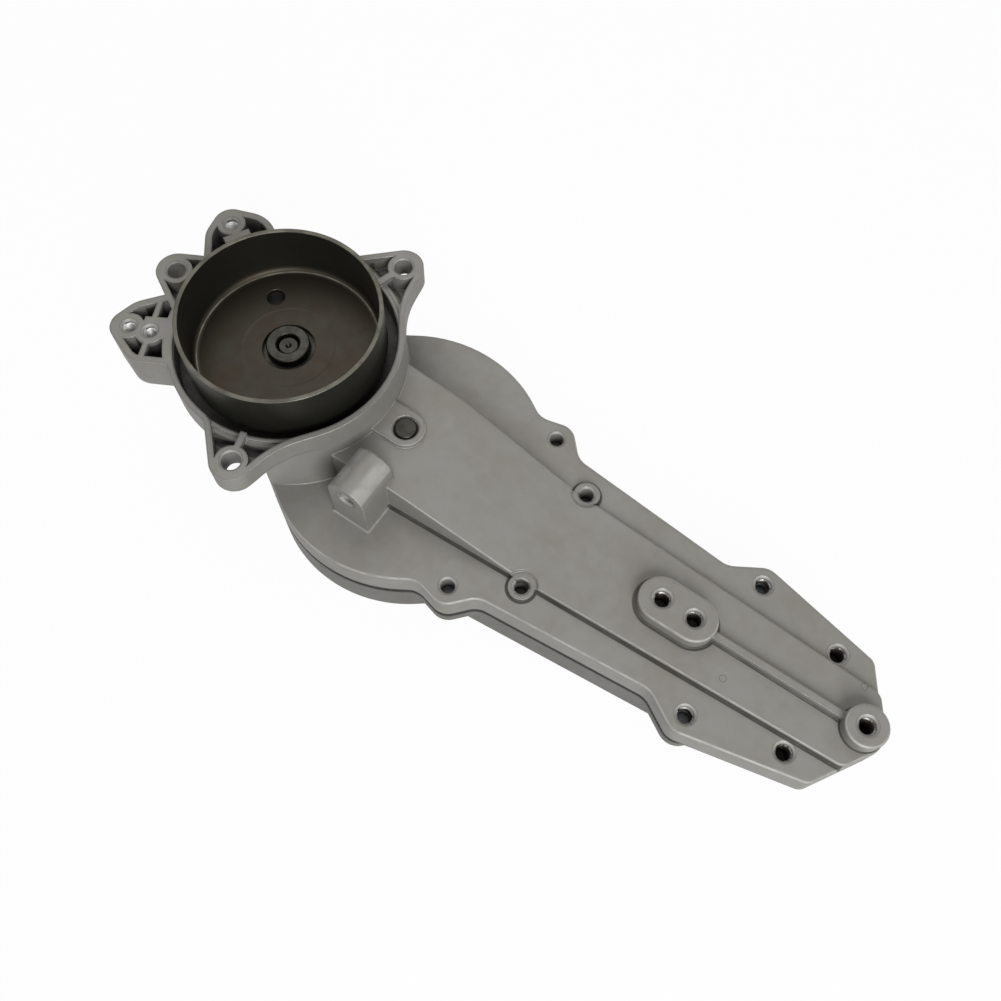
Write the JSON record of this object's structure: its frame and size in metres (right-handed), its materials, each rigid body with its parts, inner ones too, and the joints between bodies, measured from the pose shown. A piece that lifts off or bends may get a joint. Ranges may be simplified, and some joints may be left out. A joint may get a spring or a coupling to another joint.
{
  "type": "hedge trimmer gearbox",
  "caption": "Die-cast hedge trimmer gearbox: round clutch housing with drum at one end, long tapered plate with tapped bosses for the blades at the other, closed by a bottom cover.",
  "frame": {"origin": "on the clutch shaft's axis, in the plane of the flange that the engine bolts to", "axes": "+Z along the shaft towards the engine, out of the drum's mouth; +X along the case towards the blades; +Y to the left of the case, seen from the engine side with +X away"},
  "size_m": [0.3354, 0.1242, 0.0813],
  "materials": {
    "cast_case": "satin as-cast aluminium",
    "cast_cover": "satin as-cast aluminium",
    "gasket": "matt black gasket sheet",
    "black_steel": "blackened steel, satin",
    "dark_steel": "machined steel, oiled",
    "bright_steel": "ground bearing steel",
    "gear_steel": "hardened gear steel",
    "bronze": "sintered bronze bush",
    "screw_steel": "zinc plated steel",
    "seal_rubber": "nitrile rubber"
  },
  "bodies": {
    "case": {"gear_case": "cast_case", "bottom_cover": "cast_cover", "cover_gasket": "gasket", "cover_screws": "screw_steel", "pillar_screws": "screw_steel", "cover_dowels": "bright_steel", "upper_bearing_outer_race": "bright_steel", "lower_bearing_outer_race": "bright_steel", "bearing_circlip": "dark_steel", "shaft_seal": "seal_rubber", "crank_axle": "dark_steel", "upper_thrust_washer": "bright_steel", "lower_thrust_washer": "bright_steel"},
    "clutch": {"clutch_drum": "black_steel", "drum_hub": "black_steel", "pinion_shaft": "dark_steel", "upper_bearing_inner_race": "bright_steel", "lower_bearing_inner_race": "bright_steel"},
    "crank": {"crank_gear": "gear_steel", "cam_hub": "gear_steel", "crank_pins": "bright_steel", "axle_bush": "bronze"},
    "upper_connecting_rod": {"upper_rod": "gear_steel", "upper_rod_bush": "bronze"},
    "lower_connecting_rod": {"lower_rod": "gear_steel", "lower_rod_bush": "bronze"},
    "upper_ball_set": {"upper_bearing_balls": "bright_steel", "upper_bearing_cage": "bright_steel"},
    "lower_ball_set": {"lower_bearing_balls": "bright_steel", "lower_bearing_cage": "bright_steel"}
  },
  "joints": [
    {"name": "crank_spin", "type": "hinge", "parent": "case", "child": "crank", "pos_m": [0.057, 0, 0], "axis": [0, 0, 1], "continuous": true},
    {"name": "clutch_spin", "type": "hinge", "parent": "case", "child": "clutch", "pos_m": [0, 0, 0], "axis": [0, 0, 1], "continuous": true},
    {"name": "upper_cage_spin", "type": "hinge", "parent": "case", "child": "upper_ball_set", "pos_m": [0, 0, 0], "axis": [0, 0, 1], "continuous": true},
    {"name": "lower_cage_spin", "type": "hinge", "parent": "case", "child": "lower_ball_set", "pos_m": [0, 0, 0], "axis": [0, 0, 1], "continuous": true},
    {"name": "upper_rod_swing", "type": "hinge", "parent": "crank", "child": "upper_connecting_rod", "pos_m": [0.0655, 0, 0], "axis": [0, 0, 1], "continuous": true},
    {"name": "lower_rod_swing", "type": "hinge", "parent": "crank", "child": "lower_connecting_rod", "pos_m": [0.0485, 0, 0], "axis": [0, 0, 1], "continuous": true}
  ],
  "couplings": [
    {"joint": "clutch_spin", "follows": "crank_spin", "ratio": -4.8462},
    {"joint": "upper_cage_spin", "follows": "crank_spin", "ratio": -1.8415},
    {"joint": "lower_cage_spin", "follows": "crank_spin", "ratio": -1.8658},
    {"joint": "upper_rod_swing", "follows": "crank_spin", "ratio": -1},
    {"joint": "lower_rod_swing", "follows": "crank_spin", "ratio": -1}
  ]
}
